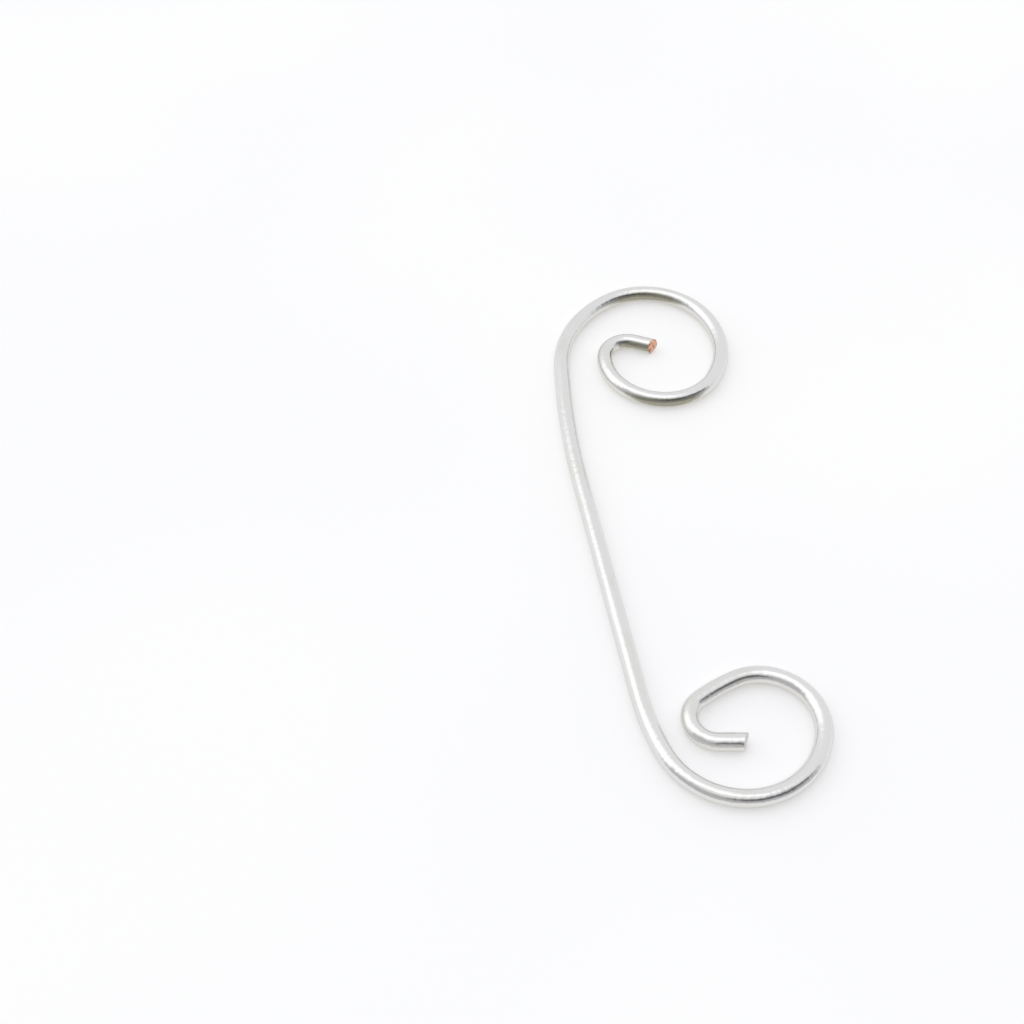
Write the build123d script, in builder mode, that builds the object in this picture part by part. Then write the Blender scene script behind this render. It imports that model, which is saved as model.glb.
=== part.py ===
from build123d import *
import os
from math import radians, tan

# A curled wire hanger: one length of round wire, a stem with a spiral curl at
# each end. Both curls open to the same side, so one goes over a rod or a twig
# and the other carries the loop of what hangs.
# It lies flat: the bends are all in one plane, parallel to XY, and the stem
# runs along Y. The origin is on the table, under the middle of the outline.
# Every bend is an arc tangent to the one before it.

os.makedirs("parts", exist_ok=True)

# Wire, in millimetres
wire_diameter = 2.05

# Stem: the stretch with no bend
stem_length = 30.8

# Upper curl, from the stem to the tip: radius at the middle of the wire, and
# how far each bend turns in degrees
upper_sway_radius = 121.3
upper_sway_angle = 9.5
upper_shoulder_radius = 14.78
upper_shoulder_angle = 57.3
upper_crown_radius = 9.14
upper_crown_angle = 93.5
upper_flank_radius = 11.81
upper_flank_angle = 59.5
upper_cradle_radius = 7.44
upper_cradle_angle = 152.2
upper_nib_radius = 3.1
upper_nib_angle = 106.6
upper_tip_length = 2.65

# Lower curl, from the stem to the tip
lower_sway_radius = 30.2
lower_sway_angle = 14.0
lower_bowl_radius = 9.13
lower_bowl_angle = 148.2
lower_shoulder_radius = 6.29
lower_shoulder_angle = 123.3
lower_slope_radius = 22.3
lower_slope_angle = 12.9
lower_nib_radius = 2.87
lower_nib_angle = 141.3
lower_tip_length = 3.05

# Cut ends: side cutters leave two slopes that meet in a ridge. A slope is
# measured from the square cut, the ridge's height from the table. The cutters
# were held askew, so both ends are turned to the right of the tip's heading.
# Their reach, past the wire on every side, is a share of its diameter.
cutter_reach_share = 0.75
cut_skew_angle = 17.0
upper_tip_top_angle = 17.0
upper_tip_under_angle = 18.0
upper_tip_ridge_height = 0.5
lower_tip_top_angle = 16.0
lower_tip_under_angle = 36.0
lower_tip_ridge_height = 0.75

# Worked out from the sizes above
wire_radius = wire_diameter / 2
cutter_reach = wire_diameter * cutter_reach_share

upper_bends = [
    (upper_sway_radius, upper_sway_angle),
    (upper_shoulder_radius, upper_shoulder_angle),
    (upper_crown_radius, upper_crown_angle),
    (upper_flank_radius, upper_flank_angle),
    (upper_cradle_radius, upper_cradle_angle),
    (upper_nib_radius, upper_nib_angle),
]
lower_bends = [
    (lower_sway_radius, lower_sway_angle),
    (lower_bowl_radius, lower_bowl_angle),
    (lower_shoulder_radius, lower_shoulder_angle),
    (lower_slope_radius, lower_slope_angle),
    (lower_nib_radius, lower_nib_angle),
]


def draw_curl(start, heading, bends, turn_sign, tip_length):
    """Draw one curl into the line in hand: its bends in order, each tangent to
    the last, then the straight tip. Gives back the tip's line."""
    for radius, turn in bends:
        bend = JernArc(start=start, tangent=heading, radius=radius, arc_size=turn_sign * turn)
        start, heading = bend @ 1, bend % 1
    return Line(start, start + heading * tip_length)


def draw_course(stem_foot):
    """Draw the middle line of the whole wire, the stem up from stem_foot with
    both curls turning to +X. Gives back the lines of the two tips."""
    stem = Line(stem_foot, stem_foot + Vector(0, stem_length))
    upper_tip = draw_curl(stem @ 1, stem % 1, upper_bends, -1, upper_tip_length)
    lower_tip = draw_curl(stem @ 0, -(stem % 0), lower_bends, 1, lower_tip_length)
    return upper_tip, lower_tip


def nip_end(tip, top_slope, under_slope, ridge_height):
    """Cut the wire's end to a ridge, as the two jaws of a side cutter do. The
    profile stands on edge along the tip: what lies past the roof is cut off."""
    end, facing = tip @ 1, (tip % 1).rotate(Axis.Z, -cut_skew_angle)
    side = Plane(origin=(end.X, end.Y, 0), x_dir=facing, z_dir=facing.cross(Vector(0, 0, 1)))
    top, foot = wire_diameter + cutter_reach, -cutter_reach
    with BuildSketch(side) as past_the_roof:
        with BuildLine():
            Polyline(
                (0, ridge_height),
                (-(top - ridge_height) * tan(radians(top_slope)), top),
                (cutter_reach, top),
                (cutter_reach, foot),
                (-(ridge_height - foot) * tan(radians(under_slope)), foot),
                close=True,
            )
        make_face()
    extrude(past_the_roof.sketch, amount=cutter_reach, both=True, mode=Mode.SUBTRACT)


# The middle line is drawn once from the origin, to find the middle of its box
with BuildLine() as trial:
    draw_course(Vector(0, 0))
outline_middle = trial.line.bounding_box().center()

# Hanger: the round section swept along the course, then both ends nipped
with BuildPart() as hanger_wire:
    with BuildLine() as course:
        upper_tip, lower_tip = draw_course(Vector(0, 0, wire_radius) - outline_middle)
    middle_line = course.wires()[0]
    with BuildSketch(Plane(origin=middle_line @ 0, z_dir=middle_line % 0)):
        Circle(wire_radius)
    sweep(path=middle_line)
    nip_end(upper_tip, upper_tip_top_angle, upper_tip_under_angle, upper_tip_ridge_height)
    nip_end(lower_tip, lower_tip_top_angle, lower_tip_under_angle, lower_tip_ridge_height)
hanger_wire.part.label = "hanger_wire"
export_step(hanger_wire.part, "parts/hanger_wire.step")

wire_length = middle_line.length
print(f"wire {wire_length:.1f} mm long, {hanger_wire.part.volume:.1f} mm3")
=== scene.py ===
"""A curled wire hanger of silver-plated copper, lying flat on a pale table."""

import logging
import math
from dataclasses import dataclass, field
from enum import Enum

import bpy
import numpy as np
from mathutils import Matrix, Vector


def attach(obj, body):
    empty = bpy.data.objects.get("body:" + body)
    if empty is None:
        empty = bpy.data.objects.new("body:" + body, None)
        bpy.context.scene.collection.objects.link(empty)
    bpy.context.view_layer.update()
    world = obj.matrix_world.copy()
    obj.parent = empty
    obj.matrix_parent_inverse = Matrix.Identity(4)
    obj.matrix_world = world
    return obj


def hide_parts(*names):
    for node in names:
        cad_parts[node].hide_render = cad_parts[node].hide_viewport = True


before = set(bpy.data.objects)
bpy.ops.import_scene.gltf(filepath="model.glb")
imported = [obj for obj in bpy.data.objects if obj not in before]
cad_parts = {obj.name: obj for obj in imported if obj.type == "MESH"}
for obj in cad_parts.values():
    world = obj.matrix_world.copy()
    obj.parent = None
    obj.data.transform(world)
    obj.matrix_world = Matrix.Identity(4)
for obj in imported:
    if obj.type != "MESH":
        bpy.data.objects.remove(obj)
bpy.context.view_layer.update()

MM = 0.001
NODE = "hanger_wire"
log = logging.getLogger("hanger")


class Side(Enum):
    """The way a bend turns, seen from above, as the sign of its angle."""

    LEFT = 1
    RIGHT = -1


class Slot(Enum):
    """The record's material slots."""

    PLATE = "silver_plate"
    CORE = "copper_core"


@dataclass(frozen=True)
class Ease:
    """Two limits: a mask leaves 0 at the low one and reaches 1 at the high one."""

    low: float
    high: float

    def share(self, values: np.ndarray) -> np.ndarray:
        """Ease values smoothly from 0 to 1: s * s * (3 - 2 * s), where s is the
        place between the limits.

        Args:
            values: what is eased.

        Returns:
            The eased values.
        """
        place = np.clip((values - self.low) / (self.high - self.low), 0.0, 1.0)
        return place * place * (3.0 - 2.0 * place)


@dataclass(frozen=True)
class Grain:
    """How fine a noise is: grains per unit along each axis, and finer layers."""

    per_unit: tuple
    layers: float


# Shader building


class Value:
    """One output of a shader node, with arithmetic that adds Math nodes."""

    def __init__(self, shop: "Shop", socket: bpy.types.NodeSocket) -> None:
        """Hold the socket and the shop that can add nodes to its tree."""
        self.shop = shop
        self.socket = socket

    def __add__(self, other: "Value | float") -> "Value":
        """This plus other."""
        return self.shop.maths("ADD", self, other)

    def __radd__(self, other: float) -> "Value":
        """A number plus this."""
        return self.shop.maths("ADD", other, self)

    def __sub__(self, other: "Value | float") -> "Value":
        """This minus other."""
        return self.shop.maths("SUBTRACT", self, other)

    def __rsub__(self, other: float) -> "Value":
        """A number minus this."""
        return self.shop.maths("SUBTRACT", other, self)

    def __mul__(self, other: "Value | float") -> "Value":
        """This times other."""
        return self.shop.maths("MULTIPLY", self, other)

    def __rmul__(self, other: float) -> "Value":
        """A number times this."""
        return self.shop.maths("MULTIPLY", other, self)

    def __neg__(self) -> "Value":
        """Nought minus this."""
        return self.shop.maths("SUBTRACT", 0.0, self)


class Shop:
    """A node tree and the few ways in which this scene adds nodes to it."""

    def __init__(self, tree: bpy.types.NodeTree) -> None:
        """Empty the tree and keep it."""
        tree.nodes.clear()
        self.tree = tree

    def node(self, kind: str, settings: dict | None = None, inputs: dict | None = None) -> bpy.types.Node:
        """Add a node.

        Args:
            kind: Blender's name for the node type.
            settings: attribute values, set before the inputs.
            inputs: socket name or number to a number, a colour, a Value or a socket.

        Returns:
            The new node.
        """
        made = self.tree.nodes.new(kind)
        for name, value in (settings or {}).items():
            setattr(made, name, value)
        for name, value in (inputs or {}).items():
            self.feed(made.inputs[name], value)
        return made

    def feed(self, socket: bpy.types.NodeSocket, value: object) -> None:
        """Link or set one input.

        Args:
            socket: the input.
            value: a Value or a socket to link, or anything else to set.
        """
        if isinstance(value, Value):
            value = value.socket
        if isinstance(value, bpy.types.NodeSocket):
            self.tree.links.new(value, socket)
        else:
            socket.default_value = value

    def maths(self, operation: str, first: "Value | float", second: "Value | float") -> Value:
        """Add a Math node.

        Args:
            operation: the Math node's operation.
            first: its first input.
            second: its second input.

        Returns:
            The node's result.
        """
        made = self.node("ShaderNodeMath", {"operation": operation}, {0: first, 1: second})
        return Value(self, made.outputs[0])

    def step(self, value: Value, ease: Ease) -> Value:
        """Ease a value smoothly from 0 to 1.

        Args:
            value: what is eased.
            ease: the limits between which it goes from 0 to 1.

        Returns:
            The eased value.
        """
        made = self.node("ShaderNodeMapRange", {"interpolation_type": "SMOOTHSTEP"},
                         {"Value": value, "From Min": ease.low, "From Max": ease.high})
        return Value(self, made.outputs["Result"])

    def mix(self, factor: "Value | float", first: object, second: object) -> bpy.types.NodeSocket:
        """Mix two colours.

        Args:
            factor: 0 gives first, 1 gives second.
            first: a colour or a colour socket.
            second: a colour or a colour socket.

        Returns:
            The mixed colour's socket.
        """
        made = self.node("ShaderNodeMix", {"data_type": "RGBA"}, {0: factor, 6: first, 7: second})
        return made.outputs[2]

    def attribute(self, name: str) -> Value:
        """Read a number that a piece keeps for each of its points."""
        return Value(self, self.node("ShaderNodeAttribute", {"attribute_name": name}).outputs["Fac"])

    def noise(self, place: bpy.types.NodeSocket, grain: Grain) -> Value:
        """Noise on stretched coordinates.

        Args:
            place: the coordinates.
            grain: how fine the noise is along each axis.

        Returns:
            The noise, about 0.5 in the middle.
        """
        spread = self.node("ShaderNodeVectorMath", {"operation": "MULTIPLY"}, {0: place, 1: grain.per_unit})
        made = self.node("ShaderNodeTexNoise", None,
                         {"Vector": spread.outputs[0], "Scale": 1.0, "Detail": grain.layers})
        return Value(self, made.outputs["Fac"])

    def along(self, direction: bpy.types.NodeSocket, axis: Vector) -> Value:
        """How far a direction points along an axis: their dot product.

        Args:
            direction: the direction's socket.
            axis: the axis.

        Returns:
            The cosine of the angle between them, for an axis of length 1.
        """
        made = self.node("ShaderNodeVectorMath", {"operation": "DOT_PRODUCT"},
                         {0: direction, 1: tuple(axis)})
        return Value(self, made.outputs["Value"])

    def bump(self, relief: Value, strength: float, height: float) -> bpy.types.NodeSocket:
        """Tilt the surface the way a relief would.

        Args:
            relief: how high each place stands, as a multiple of height.
            strength: the share of the tilt that counts.
            height: how high a relief of 1 stands, in mm.

        Returns:
            The tilted normal's socket.
        """
        made = self.node("ShaderNodeBump", None,
                         {"Strength": strength, "Distance": height * MM, "Height": relief})
        return made.outputs["Normal"]

    def surface(self, inputs: dict) -> None:
        """Add the surface shader and link it to the output.

        Args:
            inputs: the shader's socket names and what each one gets.
        """
        shader = self.node("ShaderNodeBsdfPrincipled", None, inputs)
        self.node("ShaderNodeOutputMaterial", None, {"Surface": shader.outputs["BSDF"]})


def new_material(name: str) -> tuple[bpy.types.Material, Shop]:
    """Start a material with an empty tree.

    Args:
        name: the material's name.

    Returns:
        The material, and the shop that works on its tree.
    """
    material = bpy.data.materials.new(name)
    material.use_nodes = True
    return material, Shop(material.node_tree)


@dataclass(frozen=True)
class SilverPlate:
    """Bright silver plating over drawn wire: faint die lines along the wire,
    thin tarnish in patches, a painted warm reflection on the lower side of
    the wire, a painted dark olive reflection on one side of the upper curl,
    and a duller finish at the tight bends."""

    colour: tuple = (0.79, 0.788, 0.782, 1.0)
    tarnish: tuple = (0.735, 0.725, 0.675, 1.0)
    # painted dark olive reflection, on one side of the upper curl
    painted_dark_reflection: tuple = (0.27, 0.26, 0.185, 1.0)
    # painted warm reflection, laid on the lower side of the wire
    painted_warm_reflection: tuple = (0.785, 0.762, 0.705, 1.0)
    edge: tuple = (0.90, 0.895, 0.88, 1.0)
    roughness: float = 0.17
    rubbed_roughness: float = 0.27
    # how much the fine lines add to the roughness
    fine_roughness: float = 0.04
    # grains per millimetre, along the wire and both ways across it
    die_grain: Grain = Grain((0.10, 4.5, 4.5), 2.0)
    fine_grain: Grain = Grain((0.4, 14.0, 14.0), 1.0)
    mottle_grain: Grain = Grain((1.8, 1.2, 1.2), 1.0)
    patch_grain: Grain = Grain((0.20, 0.5, 0.5), 2.0)
    # where the masks leave 0 and reach 1, the last by the depth below the wire's middle in mm
    patch_ease: Ease = Ease(0.44, 0.72)
    rubbed_ease: Ease = Ease(0.25, 0.80)
    dark_reflection_ease: Ease = Ease(0.0, 0.80)
    warm_reflection_ease: Ease = Ease(-0.50, 0.20)
    # the most that each tint covers, and how much the mottle breaks up the painted dark reflection
    patch_cover: float = 0.40
    warm_reflection_cover: float = 0.9
    dark_reflection_cover: float = 0.85
    dark_reflection_breakup: float = 0.25
    # the lines' share in the relief, next to the mottle's 1, then the share of the relief's
    # tilt that counts, and its height in mm
    die_relief: float = 0.4
    fine_relief: float = 0.1
    relief_strength: float = 0.6
    relief_height: float = 0.06

    def make(self) -> bpy.types.Material:
        """Build the material. It reads the wire's own attributes: drawn, the
        place on the straight wire in millimetres, bent, how tight the bend is,
        and one that says how much of the painted dark reflection the place gets.

        Returns:
            The finished material.
        """
        material, shop = new_material(Slot.PLATE.value)
        drawn = shop.node("ShaderNodeAttribute", {"attribute_name": "drawn"}).outputs["Vector"]
        height = Value(shop, shop.node("ShaderNodeSeparateXYZ", None, {0: drawn}).outputs["Z"])
        die_lines = shop.noise(drawn, self.die_grain)
        fine_lines = shop.noise(drawn, self.fine_grain)
        mottle = shop.noise(drawn, self.mottle_grain)
        patches = shop.step(shop.noise(drawn, self.patch_grain), self.patch_ease)
        rubbed = shop.attribute("bent") * shop.step(mottle, self.rubbed_ease)
        # painted warm reflection: the lower side of the wire is tinted warmer
        under = shop.step(-height, self.warm_reflection_ease)
        # painted dark reflection: one side of the upper curl is darkened to olive
        dark_reflection = shop.step(shop.attribute("painted_reflection_share") - self.dark_reflection_breakup * mottle, self.dark_reflection_ease)
        bare = shop.mix(self.warm_reflection_cover * under, self.colour, self.painted_warm_reflection)
        thin = shop.mix(self.patch_cover * patches, bare, self.tarnish)
        rubbed_more = self.rubbed_roughness - self.roughness
        more_roughness = self.fine_roughness * fine_lines + rubbed_more * rubbed
        relief = self.die_relief * die_lines + self.fine_relief * fine_lines + mottle
        shop.surface({
            "Base Color": shop.mix(self.dark_reflection_cover * dark_reflection, thin, self.painted_dark_reflection), "Metallic": 1.0,
            "Roughness": self.roughness + more_roughness, "Specular Tint": self.edge,
            "Normal": shop.bump(relief, self.relief_strength, self.relief_height),
        })
        return material


@dataclass(frozen=True)
class CopperCore:
    """Bare copper where the cutters went through: dull, streaked the way the
    jaws ran, with dark red spots, and with plating dragged over part of it."""

    colour: tuple = (0.80, 0.44, 0.27, 1.0)
    spot: tuple = (0.30, 0.11, 0.07, 1.0)
    pale: tuple = (0.93, 0.68, 0.50, 1.0)
    dragged: tuple = (0.70, 0.69, 0.68, 1.0)
    metallic: float = 0.75
    roughness: float = 0.36
    # how much the fine grain adds to the roughness
    fine_roughness: float = 0.2
    # grains per metre
    streak_grain: Grain = Grain((2600.0, 900.0, 9000.0), 3.0)
    fine_grain: Grain = Grain((7000.0, 7000.0, 7000.0), 2.0)
    spot_grain: Grain = Grain((1700.0, 1700.0, 1700.0), 2.0)
    # where the masks leave 0 and reach 1
    spot_ease: Ease = Ease(0.53, 0.64)
    pale_ease: Ease = Ease(0.42, 0.66)
    dragged_ease: Ease = Ease(0.45, 0.75)
    # the most that each tint covers
    spot_cover: float = 0.85
    pale_cover: float = 0.8
    # how much the rim adds to the spots, and how much the streaks break up the plating
    rim_spots: float = 0.10
    dragged_breakup: float = 0.30
    # the fine grain's share in the relief, next to the streaks' 1, then the share of the
    # relief's tilt that counts, and its height in mm
    fine_relief: float = 0.4
    relief_strength: float = 0.5
    relief_height: float = 0.03

    def make(self) -> bpy.types.Material:
        """Build the material on Object coordinates. It reads the piece's own
        attributes: dragged, how much plating the jaws left on a place, and rim,
        how near the place is to the face's edge.

        Returns:
            The finished material.
        """
        material, shop = new_material(Slot.CORE.value)
        place = shop.node("ShaderNodeTexCoord").outputs["Object"]
        streaks = shop.noise(place, self.streak_grain)
        fine = shop.noise(place, self.fine_grain)
        speckle = shop.noise(place, self.spot_grain)
        spots = shop.step(speckle + self.rim_spots * shop.attribute("rim"), self.spot_ease)
        shine = shop.step(streaks, self.pale_ease)
        plated = shop.step(shop.attribute("dragged") + self.dragged_breakup * streaks, self.dragged_ease)
        streaked = shop.mix(self.pale_cover * shine, self.colour, self.pale)
        copper = shop.mix(self.spot_cover * spots, streaked, self.spot)
        relief = streaks + self.fine_relief * fine
        shop.surface({
            "Base Color": shop.mix(plated, copper, self.dragged), "Metallic": self.metallic,
            "Roughness": self.roughness + self.fine_roughness * fine,
            "Normal": shop.bump(relief, self.relief_strength, self.relief_height),
        })
        return material


@dataclass(frozen=True)
class TablePaper:
    """Smooth white paper on a light box, a touch of lavender in it."""

    colour: tuple = (0.68, 0.68, 0.68, 1.0)
    shade: tuple = (0.665, 0.665, 0.68, 1.0)
    glow_colour: tuple = (1.0, 1.0, 1.0, 1.0)
    glow: float = 0.38
    roughness: float = 0.9
    sheen: float = 0.1
    # grains per metre
    drift_grain: Grain = Grain((14.0, 14.0, 14.0), 1.0)
    drift_ease: Ease = Ease(0.35, 0.65)

    def make(self) -> bpy.types.Material:
        """Build the material, with a slow drift between two near whites.

        Returns:
            The finished material.
        """
        material, shop = new_material("table_paper")
        place = shop.node("ShaderNodeTexCoord").outputs["Object"]
        drift = shop.step(shop.noise(place, self.drift_grain), self.drift_ease)
        shop.surface({
            "Base Color": shop.mix(drift, self.colour, self.shade), "Roughness": self.roughness,
            "Specular IOR Level": self.sheen, "Emission Color": self.glow_colour,
            "Emission Strength": self.glow,
        })
        return material


# Mesh building


def grid_faces(rows: int, columns: int) -> np.ndarray:
    """Quads of a grid of points numbered row by row, with every row closed.

    Args:
        rows: number of rows.
        columns: number of points in a row.

    Returns:
        The corner numbers, one row per quad.
    """
    this_row = np.arange(rows - 1)[:, None] * columns
    next_row = this_row + columns
    column = np.arange(columns)[None, :]
    right = (column + 1) % columns
    corners = (this_row + column, this_row + right, next_row + right, next_row + column)
    return np.stack([corner.ravel() for corner in corners], axis=1)


def make_piece(name: str, points: np.ndarray, faces: list) -> bpy.types.Object:
    """Put points and faces into a smooth mesh object at the origin.

    Args:
        name: the object's name.
        points: places in metres, one row per point.
        faces: the corner numbers of each face.

    Returns:
        The object, linked to the scene.
    """
    mesh = bpy.data.meshes.new(name)
    mesh.from_pydata(points.tolist(), [], faces)
    mesh.polygons.foreach_set("use_smooth", np.ones(len(mesh.polygons), dtype=bool))
    mesh.validate()
    mesh.update()
    piece = bpy.data.objects.new(name, mesh)
    bpy.context.scene.collection.objects.link(piece)
    return piece


def store_values(piece: bpy.types.Object, name: str, values: np.ndarray) -> None:
    """Keep a number for each point of a mesh, for its material to read.

    Args:
        piece: the mesh object.
        name: the attribute's name.
        values: one number per point, in any shape.
    """
    store = piece.data.attributes.new(name, "FLOAT", "POINT")
    store.data.foreach_set("value", values.astype(np.float32).ravel())


def store_places(piece: bpy.types.Object, name: str, places: np.ndarray) -> None:
    """Keep a place for each point of a mesh, for its material to read.

    Args:
        piece: the mesh object.
        name: the attribute's name.
        places: three numbers per point, in any shape.
    """
    store = piece.data.attributes.new(name, "FLOAT_VECTOR", "POINT")
    store.data.foreach_set("vector", places.astype(np.float32).ravel())


def running_mean(values: np.ndarray, window: int) -> np.ndarray:
    """Mean of the values in an odd window around each one, with the ends held."""
    return np.convolve(np.pad(values, window // 2, mode="edge"), np.ones(window) / window, mode="valid")


def ahead_of(heading: float | np.ndarray) -> np.ndarray:
    """The step of length 1 along a heading: (cos, sin)."""
    return np.stack([np.cos(heading), np.sin(heading)], axis=-1)


def right_of(heading: float | np.ndarray) -> np.ndarray:
    """The step of length 1 to the right of a heading: (sin, -cos)."""
    return np.stack([np.sin(heading), -np.cos(heading)], axis=-1)


# The wire


@dataclass(frozen=True)
class Bend:
    """One arc of the wire: radius at the middle of the wire in mm, angle in degrees."""

    radius: float
    angle: float


@dataclass(frozen=True)
class CutEnd:
    """An end nipped by side cutters: two slopes that meet in a ridge. Angles in
    degrees from the square cut, the ridge's height above the table in mm."""

    top_angle: float
    under_angle: float
    ridge_height: float
    # how much plating the jaws dragged over the slope above the ridge
    dragged: float
    skew_angle: float = 17.0


@dataclass(frozen=True)
class Curl:
    """The bends from the stem to one tip, the straight tip and its cut."""

    side: Side
    bends: tuple
    tip_length: float
    cut: CutEnd


@dataclass(frozen=True)
class JawMark:
    """A shallow mark of the pliers, by its distance in from the nearer tip, in mm."""

    distance: float
    depth: float
    half_length: float


@dataclass(frozen=True)
class Furrows:
    """Fine furrows that the cutters leave, sizes in mm and rates in radians per mm."""

    depth: float = 0.014
    across_rate: float = 23.0
    # how far the furrows sway sideways with height, in radians, and how fast
    sway: float = 3.0
    sway_rate: float = 5.0
    # how fast they fade in and out with height, and where that starts, in radians
    break_rate: float = 11.0
    break_start: float = 1.0

    def relief(self, across: np.ndarray, height: np.ndarray) -> np.ndarray:
        """Height of the furrows: depth * sin(across, swaying with height) *
        sin(height).

        Args:
            across: distance across the face, in mm.
            height: height above the table, in mm.

        Returns:
            How far the face stands out, in mm.
        """
        sway = self.sway * np.sin(height * self.sway_rate)
        breaks = np.sin(height * self.break_rate + self.break_start)
        return self.depth * np.sin(across * self.across_rate + sway) * breaks


UPPER_CURL = Curl(
    side=Side.RIGHT,
    bends=(Bend(121.3, 9.5), Bend(14.78, 57.3), Bend(9.14, 93.5), Bend(11.81, 59.5), Bend(7.44, 152.2),
           Bend(3.1, 106.6)),
    tip_length=2.65,
    cut=CutEnd(top_angle=17.0, under_angle=18.0, ridge_height=0.5, dragged=0.15),
)
LOWER_CURL = Curl(
    side=Side.LEFT,
    bends=(Bend(30.2, 14.0), Bend(9.13, 148.2), Bend(6.29, 123.3), Bend(22.3, 12.9), Bend(2.87, 141.3)),
    tip_length=3.05,
    cut=CutEnd(top_angle=16.0, under_angle=36.0, ridge_height=0.75, dragged=0.8),
)
JAW_MARKS = (JawMark(4.3, 0.045, 0.5), JawMark(6.9, 0.035, 0.4), JawMark(9.8, 0.03, 0.5))


@dataclass
class Course:
    """The wire's middle line in plan: place, heading and tightness at each
    sampled length, from the lower tip to the upper tip, in mm."""

    length: np.ndarray
    place: np.ndarray
    heading: np.ndarray
    tightness: np.ndarray


def trace(curl: Curl, start: np.ndarray, heading: float, spacing: float) -> tuple[np.ndarray, ...]:
    """Follow one curl outwards from the stem.

    Each bend is the arc centre + radius * side * (sin, -cos) of the heading,
    with the heading turning evenly. The tip is straight.

    Args:
        curl: the bends and the tip.
        start: where the stem ends, in mm.
        heading: the stem's heading there, in radians.
        spacing: about how far apart the samples are, in mm.

    Returns:
        Lengths from the start, places, headings and tightness, one per sample.
    """
    # no bend has fewer samples than this
    fewest = 4
    parts = []
    run = 0.0
    for bend in curl.bends:
        reach = bend.radius * curl.side.value
        sweep = curl.side.value * math.radians(bend.angle)
        arc = bend.radius * abs(sweep)
        share = np.linspace(0.0, 1.0, max(fewest, round(arc / spacing)), endpoint=False)
        centre = start - reach * right_of(heading)
        turned = heading + sweep * share
        tightness = np.full(share.size, 1.0 / bend.radius)
        parts.append((run + arc * share, centre + reach * right_of(turned), turned, tightness))
        heading += sweep
        start = centre + reach * right_of(heading)
        run += arc
    share = np.linspace(0.0, 1.0, max(fewest, round(curl.tip_length / spacing)))
    tip = start + curl.tip_length * share[:, None] * ahead_of(heading)
    parts.append((run + curl.tip_length * share, tip, np.full(share.size, heading), np.zeros(share.size)))
    return tuple(np.concatenate(part) for part in zip(*parts))


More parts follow.
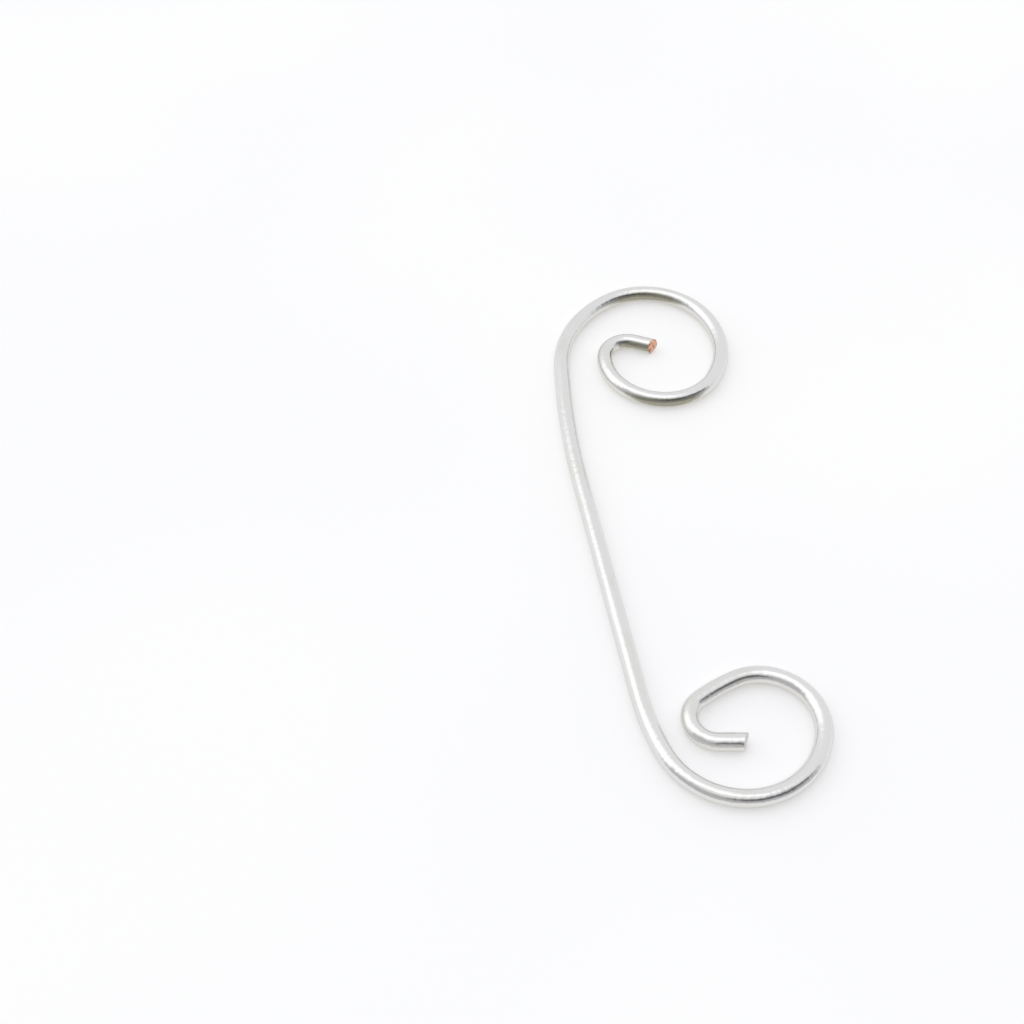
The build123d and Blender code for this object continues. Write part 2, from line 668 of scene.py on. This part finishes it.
@dataclass
class HangerWire:
    """The bent wire and its two cut faces."""

    diameter: float = 2.05
    stem_length: float = 30.8
    upper: Curl = UPPER_CURL
    lower: Curl = LOWER_CURL
    # the distance between rings in mm, the points in a ring, and the rings of a cut face
    spacing: float = 0.17
    around: int = 56
    cut_rings: int = 22
    # how far the skin keeps inside the wire's own surface, in mm
    inset: float = 0.006
    # how much the tightest bend squeezes the wire in plan, as a share of its radius
    squeeze: float = 0.03
    # the radius at which a bend counts as tightest, in mm
    tightest: float = 3.0
    # over how many rings the squeeze and the rubbing ease in
    squeeze_window: int = 9
    rubbed_window: int = 25
    # the marks of the pliers, and their width as the sine of the angle round the wire
    jaw_marks: tuple = JAW_MARKS
    jaw_width: float = 0.42
    # the slow ripple of drawn wire: its height in mm, its rate and its twist in radians per mm
    ripple: float = 0.004
    ripple_rate: float = 0.83
    ripple_twist: float = 0.05
    # how far back from a tip the rings begin to lean, and how much the ridge is rounded, in mm
    lean_length: float = 1.5
    ridge_round: float = 0.05
    furrows: Furrows = Furrows()
    # how fast the furrows rise from the rim, by share of the radius, and the power of that
    # share that says how near the rim a place is
    furrow_rise: float = 4.0
    rim_power: int = 3
    # how far below the ridge the dragged plating ends, in mm
    dragged_end: float = 0.3
    # the way that the upper curl's painted dark reflection faces, how nearly a point must face
    # it, as a cosine, and where this starts, up from the hanger's middle, and over what
    # length it grows, in mm
    reflection_side: tuple = (-0.166, -0.925, 0.342)
    reflection_facing_ease: Ease = Ease(0.68, 0.97)
    reflection_from: float = 10.0
    reflection_ramp: float = 6.0
    plate: SilverPlate = field(default_factory=SilverPlate)
    core: CopperCore = field(default_factory=CopperCore)

    @property
    def radius(self) -> float:
        """Half the wire's diameter, in mm."""
        return self.diameter / 2

    def course(self) -> Course:
        """Work out the middle line, with the middle of its box over the origin.

        Returns:
            The course from the lower tip to the upper tip.
        """
        foot, head = np.zeros(2), np.array([0.0, self.stem_length])
        up = trace(self.upper, head, math.pi / 2, self.spacing)
        down = trace(self.lower, foot, -math.pi / 2, self.spacing)
        share = np.linspace(0.0, 1.0, round(self.stem_length / self.spacing), endpoint=False)[1:]
        stem = np.stack([np.zeros(share.size), self.stem_length * share], axis=1)
        length = np.concatenate([-down[0][::-1], self.stem_length * share, self.stem_length + up[0]])
        place = np.concatenate([down[1][::-1], stem, up[1]])
        heading = np.concatenate([down[2][::-1] + math.pi, np.full(share.size, math.pi / 2), up[2]])
        tightness = np.concatenate([down[3][::-1], np.zeros(share.size), up[3]])
        middle = (place.min(axis=0) + place.max(axis=0)) / 2
        return Course(length - length[0], place - middle, heading, tightness)

    def tight(self, course: Course, window: int) -> np.ndarray:
        """How tight the wire is bent, from 0 to 1: the tightest radius over the
        bend's own radius, eased over a window of rings.

        Args:
            course: the wire's middle line.
            window: the number of rings.

        Returns:
            One row per ring, of one number.
        """
        return np.clip(running_mean(course.tightness, window) * self.tightest, 0.0, 1.0)[:, None]

    def cut_depth(self, cut: CutEnd, across: np.ndarray, height: np.ndarray) -> np.ndarray:
        """How far past the tip's end the cut face stands at a point of the section.

        The roof falls away from its ridge by the slope's tangent times the height
        from the ridge. The whole roof is turned by the skew, so its distance along
        the wire is (across * sin skew - fall) / cos skew.

        Args:
            cut: the end's slopes.
            across: distance to the left of the outward heading, in mm.
            height: height above the table, in mm.

        Returns:
            Distance along the outward heading, in mm.
        """
        skew = math.radians(cut.skew_angle)
        above = height - cut.ridge_height
        fall = np.where(above > 0, above * math.tan(math.radians(cut.top_angle)),
                        -above * math.tan(math.radians(cut.under_angle)))
        fall = np.hypot(fall, self.ridge_round) - self.ridge_round
        return (across * math.sin(skew) - fall) / math.cos(skew)

    def section(self, course: Course) -> tuple[np.ndarray, np.ndarray]:
        """The wire's outline at every sample: a circle, a little narrower in plan
        at tight bends and with shallow marks where the pliers held it.

        A mark is depth * exp(-(distance / half length)^4) * exp(-(sine of the
        angle round the wire / width)^2). The ripple is height * sin(rate *
        length) * cos(2 * angle + twist * length).

        Args:
            course: the wire's middle line.

        Returns:
            Offsets to the left of the heading and heights from the middle, in mm,
            each with one row per sample and one column per point around.
        """
        turn = np.linspace(0.0, 2 * math.pi, self.around, endpoint=False)[None, :]
        plan = self.radius * (1.0 - self.squeeze * self.tight(course, self.squeeze_window))
        length = course.length[:, None]
        tip_distance = np.minimum(length, length[-1] - length)
        dent = np.zeros_like(tip_distance * turn)
        for mark in self.jaw_marks:
            along = np.exp(-(((tip_distance - mark.distance) / mark.half_length) ** 4))
            dent += mark.depth * along * np.exp(-((np.sin(turn) / self.jaw_width) ** 2))
        twisted = 2 * turn + length * self.ripple_twist
        ripple = self.ripple * np.sin(length * self.ripple_rate) * np.cos(twisted)
        reach = 1.0 - (dent + ripple + self.inset) / self.radius
        left = plan * reach * np.cos(turn)
        height = self.radius * np.clip(reach + dent / self.radius, 0.0, 1.0) * np.sin(turn)
        return left, height

    def painted_reflection_share(self, course: Course, leftward: np.ndarray, left: np.ndarray,
                  height: np.ndarray) -> np.ndarray:
        """How much of the painted dark reflection each point gets.

        It is the cosine between the way the point faces and the way that the painted
        reflection faces, eased between two limits, times a ramp that starts at the
        foot of the upper curl.

        Args:
            course: the wire's middle line.
            leftward: the way to the left of the heading at every sample.
            left: offsets to the left, in mm.
            height: heights from the middle of the wire, in mm.

        Returns:
            A number from 0 to 1 for every point.
        """
        side = np.array(self.reflection_side)
        toward = (left * (leftward @ side[:2])[:, None] + height * side[2]) / self.radius
        ramp = np.clip((course.place[:, 1] - self.reflection_from) / self.reflection_ramp, 0.0, 1.0)
        return self.reflection_facing_ease.share(toward) * ramp[:, None]

    def build_tube(self, course: Course) -> tuple[bpy.types.Object, np.ndarray, np.ndarray]:
        """Carry the section along the course. Near each end the rings lean over
        gradually, until the last one lies on the cut face.

        Args:
            course: the wire's middle line.

        Returns:
            The tube, and the rims at the lower and the upper end, in mm.
        """
        left, height = self.section(course)
        level = height + self.radius
        length = course.length[:, None]
        near_upper = np.clip((length - length[-1] + self.lean_length) / self.lean_length, 0.0, 1.0)
        near_lower = np.clip((self.lean_length - length) / self.lean_length, 0.0, 1.0)
        # the wire is followed up the stem, so at the lower end left and right swap
        lean = near_upper * self.cut_depth(self.upper.cut, left, level)
        lean -= near_lower * self.cut_depth(self.lower.cut, -left, level)
        ahead, leftward = ahead_of(course.heading), -right_of(course.heading)
        plan = (course.place[:, None, :] + lean[..., None] * ahead[:, None, :]
                + left[..., None] * leftward[:, None, :])
        points = np.concatenate([plan, level[..., None]], axis=2)
        tube = make_piece("wire_skin", points.reshape(-1, 3) * MM, grid_faces(*level.shape).tolist())
        store_places(tube, "drawn", np.stack([length + lean, left, height], axis=2))
        store_values(tube, "bent", np.broadcast_to(self.tight(course, self.rubbed_window), level.shape))
        # how much of the painted dark reflection each point gets, for the plate's colour
        store_values(tube, "painted_reflection_share", self.painted_reflection_share(course, leftward, left, height))
        return tube, points[0], points[-1]

    def build_cut(self, name: str, rim: np.ndarray, cut: CutEnd, tip: np.ndarray,
                  heading: float) -> bpy.types.Object:
        """Fill a rim with the cut face: rings that shrink towards the middle and
        lie on the roof, with the fine furrows that the jaws leave.

        Args:
            name: the piece's name.
            rim: the tube's last ring, in mm.
            cut: the end's slopes.
            tip: the end of the middle line in plan, in mm.
            heading: the outward heading, in radians.

        Returns:
            The cut face.
        """
        ahead, leftward = ahead_of(heading), -right_of(heading)
        share = np.linspace(1.0, 0.0, self.cut_rings, endpoint=False)[:, None]
        wide = share * ((rim[:, :2] - tip) @ leftward)[None, :]
        high = share * (rim[:, 2] - self.radius)[None, :] + self.radius
        rise = np.clip((1.0 - share) * self.furrow_rise, 0.0, 1.0)
        depth = self.cut_depth(cut, wide, high) + self.furrows.relief(wide, high) * rise
        plan = tip + depth[..., None] * ahead + wide[..., None] * leftward
        rings = np.concatenate([plan, high[..., None]], axis=2).reshape(-1, 3)
        hub_depth = self.cut_depth(cut, np.zeros(1), np.full(1, self.radius))
        points = np.vstack([rings, np.append(tip + hub_depth * ahead, self.radius)])
        columns = rim.shape[0]
        quads = grid_faces(self.cut_rings, columns)
        last = (self.cut_rings - 1) * columns + np.arange(columns)
        fan = np.stack([last, np.roll(last, -1), np.full(columns, len(rings))], axis=1)
        # a face that would look into the wire is turned round
        facing = np.cross(points[1] - points[0], points[columns] - points[0])
        if facing[:2] @ ahead < 0:
            quads, fan = quads[:, ::-1], fan[:, ::-1]
        face = make_piece(name, points * MM, quads.tolist() + fan.tolist())
        above = (points[:, 2] - cut.ridge_height) / self.dragged_end + 1.0
        store_values(face, "dragged", cut.dragged * np.clip(above, 0.0, 1.0))
        nearness = np.append(np.broadcast_to(share, wide.shape), 0.0) ** self.rim_power
        store_values(face, "rim", nearness)
        return face

    def build(self) -> list[bpy.types.Object]:
        """Make the wire and its cut faces, dress them and put them on the body.

        Returns:
            The pieces.
        """
        course = self.course()
        skin, lower_rim, upper_rim = self.build_tube(course)
        lower = self.build_cut("lower_cut_face", lower_rim, self.lower.cut, course.place[0],
                               course.heading[0] + math.pi)
        upper = self.build_cut("upper_cut_face", upper_rim, self.upper.cut, course.place[-1],
                               course.heading[-1])
        skin.data.materials.append(self.plate.make())
        copper = self.core.make()
        for face in (lower, upper):
            face.data.materials.append(copper)
        pieces = [skin, lower, upper]
        for piece in pieces:
            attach(piece, "root")
        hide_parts(NODE)
        return pieces


# The studio


@dataclass(frozen=True)
class SoftLight:
    """Light from all round, by direction from the hanger: pale grey walls, a
    white strip of window to the left of the camera, a white lamp cloth overhead,
    and the dimmer room behind the camera, darkest in a band to the camera's
    right. Each mask's limits are cosines with the axis that its name gives."""

    wall: float = 0.92
    tone: tuple = (0.985, 0.99, 1.0, 1.0)
    dark_tone: tuple = (0.95, 0.90, 1.0, 1.0)
    # how much brighter the window and the cloth are, and the share of light that the others lose
    glare: float = 0.46
    room_dim: float = 0.42
    dark_dim: float = 0.82
    window_left: Ease = Ease(0.05, 0.45)
    window_front: Ease = Ease(-0.42, -0.02)
    window_front_end: Ease = Ease(0.42, 0.74)
    window_top: Ease = Ease(0.0, 0.60)
    # how much the cloth leans towards the front and the left
    cloth_front: float = 0.04
    cloth_left: float = 0.05
    cloth_top: Ease = Ease(0.905, 0.97)
    room_back: Ease = Ease(-0.02, 0.30)
    room_top_end: Ease = Ease(0.62, 0.88)
    # the way to the dark corner, to the right and to the back
    corner: tuple = (0.82, 0.57)
    dark_back: Ease = Ease(0.0, 0.22)
    dark_corner: Ease = Ease(0.20, 0.62)
    dark_top: Ease = Ease(0.34, 0.60)
    dark_top_end: Ease = Ease(0.67, 0.88)

    def make(self, forward: Vector) -> bpy.types.World:
        """Build the light in the world's own axes.

        Args:
            forward: the camera's level heading, of length 1.

        Returns:
            The world.
        """
        world = bpy.data.worlds.new("studio")
        world.use_nodes = True
        shop = Shop(world.node_tree)
        upward = Vector((0.0, 0.0, 1.0))
        rightward = forward.cross(upward)
        sky = shop.node("ShaderNodeTexCoord").outputs["Generated"]
        left, front = -shop.along(sky, rightward), shop.along(sky, forward)
        back, top = -front, shop.along(sky, upward)
        to_corner = shop.along(sky, self.corner[0] * rightward - self.corner[1] * forward)
        window = (shop.step(left, self.window_left) * shop.step(front, self.window_front)
                  * (1.0 - shop.step(front, self.window_front_end)) * shop.step(top, self.window_top))
        cloth = shop.step(top + self.cloth_front * front + self.cloth_left * left, self.cloth_top)
        bright = shop.maths("MAXIMUM", window, cloth)
        room = shop.step(back, self.room_back) * (1.0 - shop.step(top, self.room_top_end))
        band = shop.step(top, self.dark_top) * (1.0 - shop.step(top, self.dark_top_end))
        dark = shop.step(back, self.dark_back) * shop.step(to_corner, self.dark_corner) * band
        lit = self.wall + self.glare * bright
        strength = lit * (1.0 - self.room_dim * room * (1.0 - bright)) * (1.0 - self.dark_dim * dark)
        tone = shop.mix(dark, self.tone, self.dark_tone)
        light = shop.node("ShaderNodeBackground", None, {"Color": tone, "Strength": strength})
        shop.node("ShaderNodeOutputWorld", None, {"Surface": light.outputs["Background"]})
        return world


@dataclass
class Studio:
    """The table, the soft light all round and the camera."""

    # in metres
    table_size: float = 3.0
    # the camera's place and the point it looks at, in mm
    eye: tuple = (-39.53, -101.43, 132.61)
    look_at: tuple = (-20.75, 3.46, 1.025)
    # the lens and the sensor's width, in mm, and the nearest that the camera sees, in metres
    lens: float = 49.45
    sensor: float = 36.0
    nearest: float = 0.001
    paper: TablePaper = field(default_factory=TablePaper)
    light: SoftLight = field(default_factory=SoftLight)

    @property
    def sight(self) -> Vector:
        """The way from the camera to the point it looks at, in mm."""
        return Vector(self.look_at) - Vector(self.eye)

    def build_table(self) -> bpy.types.Object:
        """A level sheet just under the wire.

        Returns:
            The table.
        """
        half = self.table_size / 2
        corners = np.array([[-half, -half, 0.0], [half, -half, 0.0], [half, half, 0.0], [-half, half, 0.0]])
        table = make_piece("table", corners, [[0, 1, 2, 3]])
        table.data.materials.append(self.paper.make())
        return table

    def build_light(self) -> None:
        """Light the scene as the camera stands, because the light's axes follow its heading."""
        forward = self.sight
        forward.z = 0.0
        bpy.context.scene.world = self.light.make(forward.normalized())

    def build_camera(self) -> bpy.types.Object:
        """Stand the camera where the photograph was taken from.

        Returns:
            The camera.
        """
        camera = bpy.data.cameras.new("camera")
        camera.lens = self.lens
        camera.sensor_width = self.sensor
        camera.clip_start = self.nearest
        holder = bpy.data.objects.new("camera", camera)
        holder.location = Vector(self.eye) * MM
        holder.rotation_euler = self.sight.to_track_quat("-Z", "Y").to_euler()
        bpy.context.scene.collection.objects.link(holder)
        bpy.context.scene.camera = holder
        return holder

    def build(self) -> list[bpy.types.Object]:
        """Set up the table, the light, the camera and plain colour handling.

        Returns:
            The table and the camera.
        """
        table = self.build_table()
        self.build_light()
        camera = self.build_camera()
        bpy.context.scene.view_settings.view_transform = "Standard"
        return [table, camera]


def main() -> None:
    """Build the hanger and the studio in order, and log each piece."""
    logging.basicConfig(level=logging.INFO)
    for piece in HangerWire().build():
        log.info("%s: %d faces", piece.name, len(piece.data.polygons))
    for thing in Studio().build():
        log.info("%s in place", thing.name)


if __name__ == "__main__":
    main()
